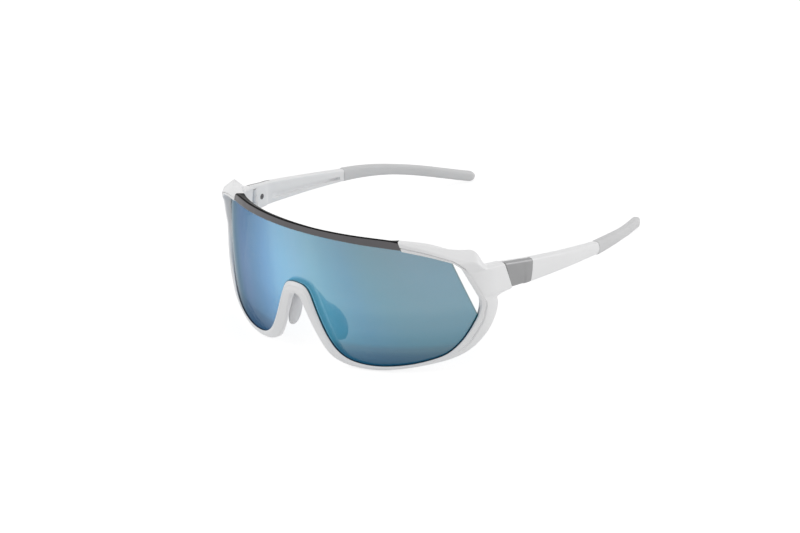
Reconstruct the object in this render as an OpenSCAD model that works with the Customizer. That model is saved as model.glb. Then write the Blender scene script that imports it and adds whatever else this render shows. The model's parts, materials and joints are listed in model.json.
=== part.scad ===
// Wrap-around cycling sunglasses with a one-piece shield lens, standing on a table with the temples open.
// Millimetres. +Z is up, the wearer looks along -Y, +X is the wearer's left.

/* [Lens] */
// Radius of the lens seen from above, at its front face
lens_plan_r = 86; // [80:0.5:94]
// Radius of the lens from top to bottom, at its front face
lens_tall_r = 265; // [200:5:400]
// Thickness of the lens
lens_t = 1.8; // [1.4:0.1:2.2]
// Distance from the middle of the lens to its side corner, measured along the curve
lens_reach = 76; // [73:0.5:79]
// Height of the visible top of the lens above the lens centre
lens_rise = 25; // [24:0.1:27]
// Depth of the bottom of the lens below the lens centre
lens_drop = 27.2; // [25:0.1:30]
// Height of the lens's side corner above the lens centre
corner_v = -5.2; // [-7:0.1:-3]
// How far the bottom of the lens tucks towards the face, in degrees
lens_tilt = 4.8; // [2:0.1:8]

/* [Front frame] */
// How far the frame stands in front of the lens at the nose
lip_proud = 1.0; // [0.7:0.1:1.6]
// How far the frame reaches behind the lens face
rim_back = 3.8; // [3.4:0.1:4.6]
// Depth that the lens edge sits in its groove
lens_bite = 0.8; // [0.5:0.1:1.1]
// Height of the nose arch above the lens centre
arch_top = 3.1; // [1:0.1:5]
// Half width of the nose arch at its foot, at the lens edge
arch_foot = 18.2; // [16.5:0.1:20]
// Width of the band round the nose arch
leg_w = 4.8; // [3.8:0.1:5.4]
// Height of the lower rim below the lens
rim_w = 1.9; // [1.5:0.1:2.6]
// Width of the vent slot beside the lens
vent_w = 3.2; // [2.4:0.1:4]
// Thickness of the side arms from front to back
arm_t = 5.4; // [4.8:0.1:6.4]

/* [Brow bar] */
// Length of the brow bar from the middle to its end, along the curve
bar_reach = 46.2; // [42:0.2:50]
// Height of the bar at the middle
bar_h = 2.3; // [2:0.1:3]
// Height of the bar at its ends, where the arms take over
bar_end_h = 3.2; // [2.8:0.1:4]
// Thickness of the bar from front to back
bar_t = 4.0; // [3.8:0.1:4.8]

/* [Temples] */
// Length along the side from the lens corner to the temple seam
end_len = 14.2; // [12:0.2:17]
// Height of the temple at the seam
temple_h = 11.4; // [10.4:0.1:12.4]
// Height of the temple where the tip begins
temple_end_h = 5.3; // [4.6:0.1:6]
// Thickness of the temple
temple_t = 4.0; // [3.8:0.1:4.6]
// Length of the hard temple from the hinge to the tip
temple_len = 56.2; // [52:0.2:62]
// Drop of the temple over its hard length
temple_drop = 4.4; // [3:0.1:7]
// Length of the soft tip from front to back
tip_len = 60.8; // [54:0.2:66]
// Distance that the tip curves inwards
tip_inset = 24.4; // [18:0.2:28]
// Drop of the soft tip
tip_drop = 10.8; // [7:0.2:13]
// Height of the soft tip near its end
tip_h = 4.5; // [4:0.1:5.4]
// Thickness of the soft tip near its end
tip_t = 3.6; // [3.4:0.1:4.4]
// Diameter of the wire inside the tip
core_d = 1.6; // [1.2:0.1:1.8]

/* [Side plates] */
// Length of the side plate at mid height
plate_len = 11.8; // [11:0.2:15]
// Thickness of the side plate
plate_t = 0.8; // [0.6:0.1:1]

/* [Hinges] */
// Diameter of the hinge barrels
barrel_d = 3.2; // [3:0.1:3.6]
// Diameter of the hinge screw
screw_d = 1.4; // [1.2:0.1:1.6]
// Height of the whole hinge
hinge_h = 8; // [7:0.2:8.6]
// Height of the middle barrel, which is on the temple
tongue_h = 2.6; // [2:0.1:3.2]
// How far the top of the seam leans forward, in degrees
seam_rake = 18; // [10:1:24]

/* [Nose pads] */
// Distance from the middle to the centre of a pad
pad_side = 10.3; // [9:0.1:11.5]
// Depth of the pad's centre behind the front of the lens
pad_back = 10.2; // [9.8:0.1:12]
// Height of the pad's centre below the lens centre
pad_low = 13.4; // [12:0.1:15]
// Length of a pad
pad_len = 17.8; // [15:0.2:20]
// Width of a pad
pad_w = 9.6; // [8:0.1:11]
// Thickness of a pad
pad_t = 3.6; // [3:0.1:4.4]
// Diameter of the bendable wire in the pad's neck
wire_d = 1; // [0.8:0.1:1.2]

/* [Hidden] */

// Clearance between pieces that are assembled
fit = 0.05;
// Running clearance of the hinge screw and of the barrels
run = 0.1;
// Gap at the temple seam
seam_gap = 0.25;
// Clearance round the lens in its groove
groove_gap = 0.15;
// Height of the lens's vertical centre of curvature
tall_v = -8.2;
// Depth of the hinge axis below the inner face
axis_in = 0.8;
// Radius of the turn from the lens curve into the temple line, and its last heading
turn_r = 14;
turn_end = 80;
// Height of the middle of the temple seam
seam_v = 6.8;
// Tapers, lips and rounds
edge_r = 0.5;
flange = 1.4;
deg = 180 / PI;

// Heading of the side curve, in degrees from straight across
turn_start = lens_reach * deg / lens_plan_r;
turn_len = turn_r * (turn_end - turn_start) / deg;

// Point seen from above at a distance s along the front face, moved out by n
function plan(s, n) = let(
        side = s < 0 ? -1 : 1,
        q = abs(s),
        a = min(q, lens_reach) * deg / lens_plan_r,
        b = min(max(q - lens_reach, 0), turn_len) * deg / turn_r,
        c = max(q - lens_reach - turn_len, 0),
        h = a + b
    ) [
        side * (lens_plan_r * sin(a) + turn_r * (sin(h) - sin(a)) + c * cos(h) + n * sin(h)),
        lens_plan_r * (1 - cos(a)) + turn_r * (cos(a) - cos(h)) + c * sin(h) - n * cos(h)
    ];

// How far the front face falls back at a height v
function sag(v) = lens_tall_r - sqrt(pow(lens_tall_r, 2) - pow(v - tall_v, 2));

// Lens coordinates to the worn position, with the bottom of the lens tucked in
function tilted(p) = [
    p[0],
    p[1] * cos(lens_tilt) - p[2] * sin(lens_tilt),
    p[2] * cos(lens_tilt) + p[1] * sin(lens_tilt)
];
function on_front(s, v, n) = let(p = plan(s, n - sag(v))) tilted([p[0], p[1], v]);

// Smooth curve through knots, with a number of steps between each two
function blend4(a, b, c, d, t) =
    0.5 * (2 * b + (c - a) * t + (2 * a - 5 * b + 4 * c - d) * pow(t, 2)
    + (3 * b - a - 3 * c + d) * pow(t, 3));
function smooth(k, steps) = [
    for (i = [0:len(k) - 2], j = [0:steps - 1])
        blend4(k[max(i - 1, 0)], k[i], k[i + 1], k[min(i + 2, len(k) - 1)], j / steps),
    k[len(k) - 1]
];
function bezier(a, b, c, d, t) =
    pow(1 - t, 3) * a + 3 * pow(1 - t, 2) * t * b + 3 * (1 - t) * pow(t, 2) * c + pow(t, 3) * d;
function mix(a, b, t) = a + (b - a) * t;
function unit(v) = v / norm(v);

// Triangles that close the end of a loft: from one corner, or between two facing chains
function fan_cap(m) = [for (j = [1:m - 2]) [0, j, j + 1]];
function strip_cap(m) = [
    for (j = [0:m / 2 - 2]) each [[j, j + 1, m - 1 - j], [j + 1, m - 2 - j, m - 1 - j]]
];

// Closed skin over a row of rings that have the same number of points
module loft(rings, cap = []) {
    m = len(rings[0]);
    last = (len(rings) - 1) * m;
    ends = len(cap) > 0 ? cap : fan_cap(m);
    polyhedron(
        points = [for (r = rings) each r],
        faces = [
            for (f = ends) [f[2], f[1], f[0]],
            for (f = ends) [last + f[0], last + f[1], last + f[2]],
            for (i = [0:len(rings) - 2], j = [0:m - 1]) let(k = (j + 1) % m)
                each [
                    [i * m + j, i * m + k, (i + 1) * m + k],
                    [i * m + j, (i + 1) * m + k, (i + 1) * m + j]
                ]
        ]
    );
}

// Lower edge of the brow line, as a height at the distance s from the middle
brow_r = 480;
brow_end_r = 94;
brow_end_s = 44;
function brow_v(s) = lens_rise - pow(s, 2) / (2 * brow_r)
    - pow(max(abs(s) - brow_end_s, 0), 2) / (2 * brow_end_r);

// Cross-section of a frame strip, from its lens side to its far side. The numbers are the two ends,
// three offsets of the face, back offset, ridge, groove, flange, rise of the back, drop of the front
// corner and how much shallower the far side is
face_steps = [0.2, 0.4, 0.6, 0.8, 1];
back_steps = [1, 0.84, 0.68, 0.52, 0.36, 0.22, 0.1];
function section(k) = let(
        a = [k[0], k[1]],
        b = [k[2], k[3]],
        d = unit(b - a),
        e = b - d * edge_r - [0, k[12]],
        g = b + [0, k[11]],
        h = g - d * edge_r - [0, k[12]],
        far = k[7] + k[13],
        r = k[8],
        deep = a + d * max(k[9], 0.06),
        lip = a - d * max(k[10], 0),
        behind = -lens_t - groove_gap,
        flat = [
            concat(a, k[4]),
            concat(mix(a, e, r / 2), mix(k[4], k[5], 0.6)),
            concat(mix(a, e, r), k[5]),
            for (t = face_steps) concat(mix(a, e, mix(r, 1, t)), mix(k[5], k[6], t)),
            concat(b, k[6] - edge_r - 1.2 * abs(k[12])),
            concat(g, far + edge_r),
            for (t = back_steps) concat(mix(a, h, t), mix(k[7], far, t)),
            concat(lip, k[7]),
            concat(lip, behind),
            concat(deep, behind),
            concat(deep, groove_gap),
            concat(a, groove_gap)
        ]
    ) [for (p = flat) on_front(p[0], p[1], p[2])];
section_cap = concat(
    [[20, 21, 0]],
    [for (j = [0:8]) [20, j, j + 1]],
    [[20, 9, 19]],
    [for (j = [9:17]) [19, j, j + 1]]
);
function mirrored(r) = [for (p = r) [-p[0], p[1], p[2]]];
function reversed(r) = [for (i = [len(r) - 1:-1:0]) r[i]];

// The frame from the nose arch round the lower rim to the corner of the lens
grip = lens_bite + groove_gap;
foot_v = 4.6 - lens_drop;
function band(a, b, n_in, n_ridge, n_out, ridge, wing, thinner = 0) =
    concat(a, b, [n_in, n_ridge, n_out, -rim_back, ridge, grip, wing, 0, 0, thinner]);
function leg(a, w) = a - w * [0.89, 0.46];
leg_a = [6.8, arch_top - 3.4];
leg_b = [arch_foot - 9.4, foot_v + 17.4];
leg_c = [arch_foot - 6.8, foot_v + 11.1];
leg_d = [arch_foot - 4, foot_v + 5.4];
foot = [arch_foot, foot_v];
brow_in = [4.3, arch_top - 0.7];
brow_out = [1.2, arch_top - leg_w - 0.2];
rim_knots = [
    band([-brow_in[0], brow_in[1]], [-brow_out[0], brow_out[1]], 0.4, lip_proud + 0.6, lip_proud + 0.5, 0.8, 0.5, 0.9),
    band([0, arch_top], [0, arch_top - leg_w + 0.3], 0.4, lip_proud + 0.6, lip_proud + 0.5, 0.8, 0.5, 0.9),
    band(brow_in, brow_out, 0.4, lip_proud + 0.6, lip_proud + 0.5, 0.7, 0.7, 0.9),
    band(leg_a, leg(leg_a, leg_w + 0.1), 0.5, lip_proud + 0.6, lip_proud + 0.5, 0.42, 1.1, 2),
    band(leg_b, leg(leg_b, leg_w + 0.3), 0.6, lip_proud + 0.4, lip_proud, 0.22, flange, 2.7),
    band(leg_c, leg(leg_c, leg_w + 0.3), 0.6, lip_proud + 0.2, lip_proud - 0.5, 0.22, flange, 2.5),
    band(leg_d, leg(leg_d, leg_w + 0.2), 0.6, lip_proud + 0.1, lip_proud - 0.8, 0.24, 1, 2.1),
    band(foot, foot - [3.7, 2.7], 0.5, lip_proud, lip_proud - 0.6, 0.3, 0.3, 1.4),
    band([arch_foot + 6.2, 1.1 - lens_drop], [arch_foot + 4.2, 0.8 - lens_drop - rim_w],
        0.5, lip_proud - 0.2, lip_proud - 0.4, 0.4, 0, 0.4),
    band([arch_foot + 16.3, -lens_drop], [arch_foot + 16.3, -lens_drop - rim_w],
        0.5, lip_proud - 0.2, lip_proud - 0.4, 0.4, 0),
    band([arch_foot + 28.3, 1.2 - lens_drop], [arch_foot + 28.6, 1.6 - lens_drop - rim_w],
        0.5, lip_proud - 0.2, lip_proud - 0.4, 0.4, 0),
    band([lens_reach - 19.5, 3.6 - lens_drop], [lens_reach - 18.9, 3.7 - lens_drop - rim_w],
        0.6, lip_proud + 0.1, lip_proud - 0.4, 0.4, 0),
    band([lens_reach - 12.5, corner_v - 15.7], [lens_reach - 10.8, corner_v - 18.1],
        0.7, lip_proud + 0.4, lip_proud - 0.3, 0.42, 0),
    band([lens_reach - 7, corner_v - 10.8], [lens_reach - 3, corner_v - 14.2],
        0.8, lip_proud + 1, lip_proud - 0.2, 0.38, 0),
    band([lens_reach - 3, corner_v - 5.2], [lens_reach + 4, corner_v - 7],
        1, lip_proud + 1.4, lip_proud - 0.1, 0.25, 0),
    band([lens_reach, corner_v], [lens_reach + 8.2, corner_v + 0.2],
        1.1, lip_proud + 1.5, lip_proud - 0.2, 0.22, 0)
];

// The ends with the temple seam, and the vent slot that they leave beside the lens
thin = 0.1;
seam_s = lens_reach + end_len;
seam_top = seam_v + temple_h / 2;
seam_bottom = seam_v - temple_h / 2 - 0.4;
function seam_at(v) = [seam_s + 1.6 - (v - seam_v) * tan(seam_rake - lens_tilt), v];
slot_top = [lens_reach - 9.2 + vent_w, brow_v(lens_reach - 9.4) - 2.2];
slot_foot = [lens_reach - 2.3 + vent_w, corner_v + 6.2];
function slot_at(u) = mix(slot_foot, slot_top, u);
function end_band(u, b, n_ridge, n_out, ridge, drop, rise = 0, deeper = 0) =
    concat(slot_at(u), b, [n_ridge - 0.9, n_ridge, n_out, -rim_back - deeper, ridge, thin, 0, rise, drop, 0]);
end_knots = [
    concat([lens_reach + 1, corner_v + 3.6], [lens_reach + 9, corner_v + 3.6],
        [1.4, 2.6, 0.8, -rim_back, 0.14, thin, 0, 0, 0, 0]),
    end_band(0, [lens_reach + 8.4, seam_bottom - 0.4], 2.7, 0.7, 0.16, 0),
    end_band(0.12, [lens_reach + 11.5, seam_bottom], 2.8, 0.5, 0.15, -0.4),
    end_band(0.24, seam_at(seam_bottom), 2.9, 0.3, 0.13, -0.4),
    end_band(0.4, seam_at(seam_v - 1.8), 3, 0.3, 0.14, 0),
    end_band(0.56, seam_at(seam_v + 1.8), 3.1, 0.3, 0.14, 0),
    end_band(0.74, seam_at(seam_top), 3.3, 0.4, 0.15, 0.5),
    end_band(0.86, [lens_reach + 8, seam_top + 1], 3.5, 1.5, 0.18, 0.6, -0.4, 0.4),
    end_band(0.94, [lens_reach + 4, seam_top + 2.2], 3.7, 2.6, 0.2, 1, -1.2, 1)
];

// The side arms, from the vent slot to the brow bar
arm_back = 1.4 - arm_t;
bar_slant = 1.4;
bar_front = 1.2;
function arm_band(a, b, n_in, n_ridge, n_out, ridge, hold, drop, rise, deeper = 0) =
    concat(a, b, [n_in, n_ridge, n_out, arm_back - deeper, ridge, hold, 0, rise, drop, 0]);
function brow_at(s, up) = [s, brow_v(s) + up];
arm_end = lens_reach - 9.4;
arm_knots = [
    arm_band(slot_top, [lens_reach + 2.9, seam_top + 4], 2.5, 3.8, 3.1, 0.22, thin, 1.7, -2.2, 1.1),
    arm_band([arm_end + 1.8, brow_v(arm_end) - 1], [lens_reach + 1.5, seam_top + 6.8],
        2.3, 3.8, 3.2, 0.24, thin, 2.5, -3, 1.3),
    arm_band([arm_end + 0.9, brow_v(arm_end) - 0.35], [lens_reach - 1, seam_top + 8.6],
        2.2, 3.7, 3.1, 0.26, thin, 3, -3.2, 1.3),
    arm_band(brow_at(arm_end, 0), [lens_reach - 4.8, seam_top + 8.8],
        1.9, 3.2, 2.7, 0.28, grip + 0.06, 2.6, -2.4, 0.8),
    arm_band(brow_at(lens_reach - 13.6, -0.3), brow_at(lens_reach - 12, 4),
        1.5, 2.4, 2, 0.34, grip + 0.36, 1.4, -1, 0.2),
    arm_band(brow_at(lens_reach - 20, -0.4), brow_at(lens_reach - 19.4, 3.4),
        1.2, 1.8, 1.5, 0.36, grip + 0.46, 0.6, -0.3),
    concat(brow_at(bar_reach + 1.15 * bar_slant + fit, -0.4), brow_at(bar_reach + fit, bar_end_h),
        [bar_front - 0.2, bar_front + 0.2, bar_front, bar_front - bar_t, 0.36, grip + 0.55, 0, -0.5, 0, 0])
];

// The same knots with a number of straight steps between each two
function ramp(k, steps) = [
    for (i = [0:len(k) - 2], j = [1:steps]) mix(k[i], k[i + 1], j / steps)
];

rim_fine = smooth(rim_knots, 3);
rim_half = [for (i = [3:len(rim_fine) - 1]) rim_fine[i]];
end_fine = concat([end_knots[0]], ramp(concat(end_knots, [arm_knots[0]]), 3));
arm_fine = smooth(arm_knots, 2);
arm_rest = [for (i = [1:len(arm_fine) - 1]) arm_fine[i]];
half_frame = [for (k = concat(rim_half, end_fine, arm_rest)) section(k)];
whole_frame = concat(
    [for (i = [len(half_frame) - 1:-1:1]) mirrored(half_frame[i])],
    half_frame
);

// Places a piece at the left hinge, or its mirror image at the right one
hinge = on_front(seam_s, seam_v, -rim_back);
module at_hinge(k) {
    mirror([k > 0 ? 0 : 1, 0, 0]) translate(hinge) children();
}
module at_axis(k) {
    at_hinge(k) translate([axis_in, 0, 0]) children();
}
module mirror_to(k) {
    mirror([k > 0 ? 0 : 1, 0, 0]) children();
}

// Path of the soft tip behind the hinge, with its start, two pulls and its end
temple_mid = [temple_t / 2, temple_t / 2 + 1, temple_t / 2 + 1.8, temple_t / 2 + 2, temple_t / 2 + 0.8];
tip_a = [temple_mid[4], temple_len, -temple_drop];
tip_b = tip_a + [-4.3, 0.495 * tip_len, -0.1 * tip_drop];
tip_c = tip_a + [-0.69 * tip_inset, 0.73 * tip_len, -0.68 * tip_drop];
tip_d = tip_a + [-tip_inset, tip_len, -tip_drop];
function tip_path(t) = bezier(tip_a, tip_b, tip_c, tip_d, t);
function tip_heading(t) = unit(tip_path(t + 0.01) - tip_path(t - 0.01));

// Stands the worn shape on the lower rim and on the two tips
rim_low = on_front(arch_foot + 13, -lens_drop - rim_w + 0.1, edge_r - rim_back);
tip_low = hinge + tip_d - [0, 1.2, tip_h / 2 - 0.8];
stand_a = atan((tip_low[2] - rim_low[2]) / (tip_low[1] - rim_low[1]));
function stood(p) = [
    p[0],
    p[1] * cos(stand_a) + p[2] * sin(stand_a),
    p[2] * cos(stand_a) - p[1] * sin(stand_a)
];
mid_y = (stood(hinge + tip_d)[1] + 0.1 - lip_proud) / 2;
lift = -stood(rim_low)[2] + 0.18;
module stand() {
    translate([0, -mid_y, lift]) rotate([-stand_a, 0, 0]) children();
}

// Round bar between two points
module rod(a, b, r) {
    d = b - a;
    translate(a)
        rotate([0, acos(d[2] / norm(d)), atan2(d[1], d[0])])
            cylinder(h = norm(d), r = r, $fn = 48);
}

// Space behind the temple seam, from the hinge
module behind_seam() {
    rotate([seam_rake, 0, 0]) translate([-8, 0, -15]) cube([20, 12, 30]);
}

// Hinge: leaf of the frame half and leaf of the temple half, with a clearance round them
leaf_t = 1.5;
barrel_r = barrel_d / 2;
swing_r = barrel_r + 0.25;
yoke_gap = tongue_h / 2 + 0.15;
module yoke_leaf(c) {
    translate([0.1 - c, -6.5 - c, -hinge_h / 2 - c])
        cube([leaf_t + 2 * c, 6.5 + c, hinge_h + 2 * c]);
}
module tongue_leaf(c) {
    rotate([0, 0, -7]) {
        translate([0.15 - c, 2.1 - c, -3 - c]) cube([leaf_t + 2 * c, 4.9 + 2 * c, 6 + 2 * c]);
        translate([0.15 - c, 0, -tongue_h / 2 - c]) cube([leaf_t + 2 * c, 3, tongue_h + 2 * c]);
    }
}
module swing_space() {
    translate([axis_in, 0, -hinge_h / 2 - run])
        cylinder(h = hinge_h + 2 * run, r = swing_r, $fn = 64);
}

module front_frame() {
    color([0.95, 0.95, 0.95]) stand() difference() {
        loft(reversed(whole_frame), section_cap);
        for (k = [1, -1]) {
            at_hinge(k) behind_seam();
            at_hinge(k) yoke_leaf(fit);
            at_hinge(k) swing_space();
            mirror_to(k) rod(pin_a, pin_b, pin_r + 0.02);
            mirror_to(k) rod(pad_root, pad_root + [0, 4, 0], stub_r + fit);
        }
    }
}

// Lens: lower edge in the rim, upper edge in the bar and the arms, free side edges
lens_low = [for (k = rim_half) let(a = [k[0], k[1]], b = [k[2], k[3]]) a + unit(b - a) * lens_bite];
lens_side = lens_reach - 9;
corner_s = lens_reach + 0.1;
function lens_top(s) =
    s < lens_side - 1.2 ? brow_v(s) + lens_bite
    : s < lens_side ? mix(brow_v(s) + lens_bite, brow_v(s) - 0.9, (s - lens_side + 1.2) / 1.2)
    : mix(brow_v(lens_side) - 0.9, corner_v - 0.8, (s - lens_side) / (corner_s - lens_side));
lens_stations = concat(
    [for (i = [0:len(lens_low) - 1]) if (lens_low[i][0] < corner_s - 0.4) lens_low[i]],
    [[corner_s, corner_v - 1.3]]
);
lens_rows = 8;
function lens_ring(p) = let(top = lens_top(p[0])) concat(
    [for (i = [0:lens_rows - 1]) on_front(p[0], mix(p[1], top, i / (lens_rows - 1)), 0)],
    [for (i = [lens_rows - 1:-1:0]) on_front(p[0], mix(p[1], top, i / (lens_rows - 1)), -lens_t)]
);
half_lens = [for (p = lens_stations) lens_ring(p)];

module shield_lens() {
    color([0.45, 0.65, 0.8, 0.7]) stand() loft(
        concat([for (i = [len(half_lens) - 1:-1:1]) mirrored(half_lens[i])], half_lens),
        strip_cap(2 * lens_rows)
    );
}

// Brow bar over the lens, and the two pins that hold its ends in the arms
bar_steps = 26;
function bar_band(u) = concat(
    brow_at(u * (bar_reach + bar_slant), 0),
    brow_at(u * bar_reach, mix(bar_h, bar_end_h, pow(abs(u), 2))),
    [bar_front - 0.2, bar_front, bar_front, bar_front - bar_t, 0.14, grip, 0, mix(-0.9, -0.5, abs(u)), 0, 0]
);
pin_r = 0.6;
pin_v = grip + 0.4 + pin_r;
pin_a = on_front(bar_reach - 2.4, brow_v(bar_reach - 2.4) + pin_v, -0.9);
pin_b = on_front(bar_reach + 3.6, brow_v(bar_reach + 3.6) + pin_v, -0.9);

module brow_bar() {
    color([0.3, 0.3, 0.31]) stand() difference() {
        loft([for (i = [-bar_steps:bar_steps]) section(bar_band(i / bar_steps))], section_cap);
        for (k = [1, -1]) mirror_to(k) rod(pin_a, pin_b, pin_r + 0.02);
    }
}

module bar_pin(k) {
    color([0.7, 0.7, 0.72]) stand() mirror_to(k)
        rod(mix(pin_a, pin_b, 0.02), mix(pin_a, pin_b, 0.98), pin_r);
}

// Frame half of the hinge: two barrels on a leaf that is set in the end of the frame
head_r = 1.1;
head_h = 0.9;
module hinge_yoke(k) {
    color([0.9, 0.9, 0.9]) stand() at_hinge(k) difference() {
        union() {
            difference() {
                yoke_leaf(0);
                translate([-1, -2.1, -yoke_gap]) cube([5, 4, 2 * yoke_gap]);
            }
            for (z = [yoke_gap, -hinge_h / 2])
                translate([axis_in, 0, z]) cylinder(h = hinge_h / 2 - yoke_gap, r = barrel_r, $fn = 64);
        }
        translate([axis_in, 0, -hinge_h / 2 - 1])
            cylinder(h = hinge_h + 2, r = screw_d / 2 + fit, $fn = 48);
        translate([axis_in, 0, hinge_h / 2 - head_h]) cylinder(h = 2, r = head_r + fit, $fn = 48);
    }
}

module hinge_screw(k) {
    color([0.6, 0.6, 0.62]) stand() at_axis(k) difference() {
        union() {
            translate([0, 0, -hinge_h / 2]) cylinder(h = hinge_h - 0.5, r = screw_d / 2, $fn = 48);
            translate([0, 0, hinge_h / 2 - head_h + 0.02])
                cylinder(h = head_h - 0.02, r = head_r, $fn = 48);
        }
        translate([-0.15, -head_r, hinge_h / 2 - 0.3]) cube([0.3, 2 * head_r, 1]);
    }
}

// Temple half of the hinge: one barrel on a leaf that is set in the temple
module hinge_tongue(k) {
    color([0.9, 0.9, 0.9]) stand() at_hinge(k) difference() {
        union() {
            tongue_leaf(0);
            translate([axis_in, 0, -tongue_h / 2]) cylinder(h = tongue_h, r = barrel_r, $fn = 64);
        }
        translate([axis_in, 0, -5]) cylinder(h = 10, r = screw_d / 2 + fit, $fn = 48);
        at_plate_screw() plate_screw_hole();
    }
}

// Temple stations along its middle: out, back, up, half height, half thickness, lean and turn
plate_end = plate_len + 0.4;
tip_start = unit(tip_b - tip_a);
function temple_knot(u, out, lean, turn, t) = [
    out, mix(seam_gap, temple_len, u), -temple_drop * u,
    mix(temple_h, temple_end_h, pow(u, 0.85)) / 2, t / 2, lean, turn
];
temple_fine = smooth([
    temple_knot(0, temple_mid[0], -tan(seam_rake), 0, temple_t),
    temple_knot(0.13, temple_mid[1], -0.12, 0, temple_t),
    temple_knot(plate_end / temple_len, temple_mid[2], 0.12, 0, temple_t),
    temple_knot(0.62, temple_mid[3], 0.09, 0, temple_t - 0.2),
    temple_knot(1, temple_mid[4], -tip_start[2] / tip_start[1], -tip_start[0] / tip_start[1], temple_t - 0.4)
], 5);
plate_i = 10;

// Outer, top and bottom skin of a temple cross-section, set in by e
corner_r = 1.5;
ledge = 1.8;
arc_in = [90, 67.5, 45, 22.5, 0];
function skin(h, t, e) = concat(
    [[-t + ledge + fit, h - e]],
    [for (a = arc_in) [t - corner_r, h - corner_r] + (corner_r - e) * [cos(a), sin(a)]],
    [[t - e + 0.1, 0.36 * h], [t - e + 0.16, 0], [t - e + 0.1, -0.36 * h]],
    [for (a = reversed(arc_in)) [t - corner_r, corner_r - h] + (corner_r - e) * [cos(a), -sin(a)]],
    [[-t + ledge + fit, e - h]]
);
function temple_ring(k, e, c) = let(h = k[3], t = k[4], w = 0.26 * h, z = -0.3 * h) place(k, concat(
    [[-t, h - 0.9], [0.3 - t, h - 0.2], [ledge - t, h]],
    skin(h, t, e),
    [[ledge - t, -h], [0.3 - t, 0.2 - h], [-t, 0.9 - h]],
    [[-t, z - w], [c - t, z - w + 0.15], [c - t, z + w - 0.15], [-t, z + w]]
));
function place(k, flat) = [
    for (p = flat) [k[0] + p[0], k[1] + k[5] * p[1] + k[6] * p[0], k[2] + p[1]]
];
temple_cap = concat(
    [[24, 0, 23], [0, 1, 23], [1, 19, 23], [19, 22, 23], [19, 20, 22], [20, 21, 22]],
    [for (j = [1:8]) each [[j, j + 1, 19 - j], [j, 19 - j, 20 - j]]],
    [[9, 10, 11]]
);
function channel(y) = y > plate_end + 1 && y < temple_len - 5 ? 0.8 : 0.02;
temple_rings = concat(
    [for (i = [0:plate_i]) temple_ring(temple_fine[i], plate_t + fit, 0.02)],
    [temple_ring(temple_fine[plate_i] + [0, 0.01, 0, 0, 0, 0, 0], 0.02, 0.02)],
    [for (i = [plate_i + 1:len(temple_fine) - 1])
        let(k = temple_fine[i]) temple_ring(k, 0.02, channel(k[1]))]
);

// Screw that holds the side plate from inside, and the boss that it bites in
plate_screw_y = 5;
boss_r = 1.2;
module at_plate_screw() {
    translate([plate_screw_y * tan(7) + 0.05, plate_screw_y, -0.6])
        rotate([0, 0, -7]) rotate([0, 90, 0]) children();
}
module plate_screw_hole() {
    translate([0, 0, -1]) cylinder(h = 7, r = 0.65, $fn = 40);
    translate([0, 0, -1]) cylinder(h = 1.8, r = 1.25, $fn = 40);
}
core_in = 8;
core_start = tip_a - tip_start * core_in;

module temple(k) {
    color([0.95, 0.95, 0.95]) stand() at_hinge(k) difference() {
        loft(reversed(temple_rings), temple_cap);
        tongue_leaf(fit);
        swing_space();
        at_plate_screw() plate_screw_hole();
        at_plate_screw() translate([0, 0, 2.15]) cylinder(h = 4, r = boss_r + fit, $fn = 40);
        rod(core_start, tip_a + tip_start, core_d / 2 + fit);
    }
}

module temple_plate(k) {
    color([0.62, 0.62, 0.63]) stand() at_hinge(k) difference() {
        union() {
            loft(reversed(plate_rings), strip_cap(30));
            at_plate_screw() translate([0, 0, 2.2]) cylinder(h = 1.4, r = boss_r, $fn = 40);
        }
        at_plate_screw() translate([0, 0, -1]) cylinder(h = 4.2, r = 0.62, $fn = 40);
    }
}
plate_rings = [for (i = [0:plate_i]) let(
        back = i == plate_i ? -fit : 0,
        s = temple_fine[i] + [0, back, 0, 0, 0, 0, 0]
    ) place(s, concat(skin(s[3], s[4], 0), reversed(skin(s[3], s[4], plate_t))))];

module plate_screw(k) {
    color([0.35, 0.35, 0.36]) stand() at_hinge(k) at_plate_screw() difference() {
        union() {
            cylinder(h = 0.75, r = 1.2, $fn = 40);
            cylinder(h = 3, r = 0.6, $fn = 40);
        }
        translate([-0.15, -1.2, -1]) cube([0.3, 2.4, 1.25]);
    }
}

// Soft tip with a hole for the wire, and the wire
tip_sides = 20;
tip_stops = [0, 0.08, 0.17, 0.27, 0.37, 0.47, 0.57, 0.67, 0.77, 0.87, 0.945, 0.968, 0.986, 0.996];
tip_round = [1, 1, 1, 1, 1, 1, 1, 1, 1, 1, 1, 0.9, 0.66, 0.36];
wire_stops = [0, 0.08, 0.17, 0.27, 0.37, 0.47, 0.57, 0.67, 0.77, 0.87, 0.92];
function around(c, d, high, thick, power) = let(
        up = unit([0, 0, 1] - d * d[2]),
        out = cross(up, d)
    ) [for (i = [0:tip_sides - 1]) let(
        a = i * 360 / tip_sides,
        q = pow(pow(abs(cos(a)), power) + pow(abs(sin(a)), power), -1 / power)
    ) c + up * high * q * sin(a) - out * thick * q * cos(a)];
function tip_ring(t, k) = around(
    tip_path(t), t < 0.01 ? tip_start : tip_heading(t),
    k * mix(temple_end_h / 2 + 0.3, tip_h / 2, min(3 * t, 1)),
    k * mix(temple_t / 2 + 0.1, tip_t / 2, min(3 * t, 1)),
    3
);
function wire_ring(t, r) = around(tip_path(t), t < 0.01 ? tip_start : tip_heading(t), r, r, 2);

module temple_tip(k) {
    color([0.85, 0.85, 0.85]) stand() at_hinge(k) translate(tip_start * fit) loft(reversed(concat(
        [for (i = [len(tip_stops) - 1:-1:0]) tip_ring(tip_stops[i], tip_round[i])],
        [for (t = wire_stops) wire_ring(t, core_d / 2 + fit)],
        [wire_ring(0.925, core_d / 2 + fit)]
    )));
}

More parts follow.
